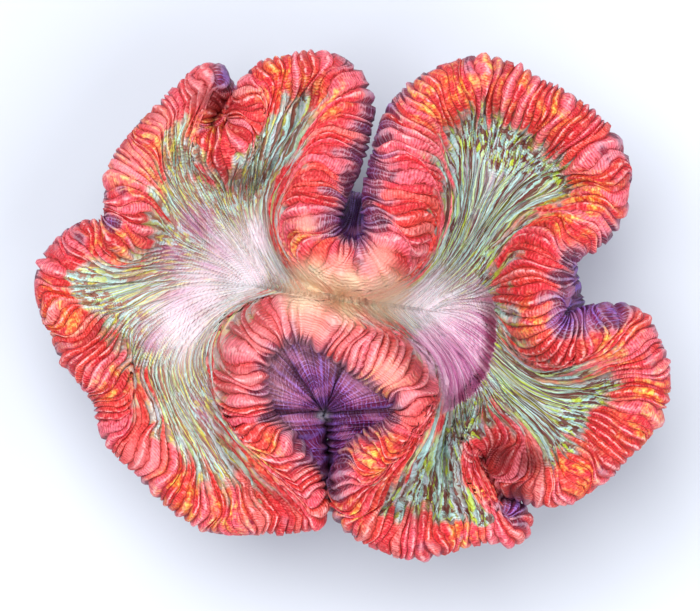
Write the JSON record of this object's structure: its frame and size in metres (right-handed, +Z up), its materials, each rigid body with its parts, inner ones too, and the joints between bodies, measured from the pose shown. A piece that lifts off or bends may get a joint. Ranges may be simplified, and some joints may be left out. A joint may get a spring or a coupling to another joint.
{
  "type": "brain coral",
  "caption": "Open brain coral: a pleated fleshy rim folded in deep lobes round a shallow valley with the mouth, on a narrow cone cut off flat.",
  "frame": {"origin": "middle of the coral's box, on the flat cut that it rests on", "axes": "+X along the longest extent, towards the lobe at the open notch; +Y towards the deep narrow fold; +Z up, out of the mouth"},
  "size_m": [0.0758, 0.0602, 0.0409],
  "materials": {
    "coral": "wet satin flesh, coral red on the pleated rim, pale mint and lilac in the valley, mauve outside below the rim"
  },
  "bodies": {
    "root": {"brain_coral": "coral"}
  },
  "joints": []
}
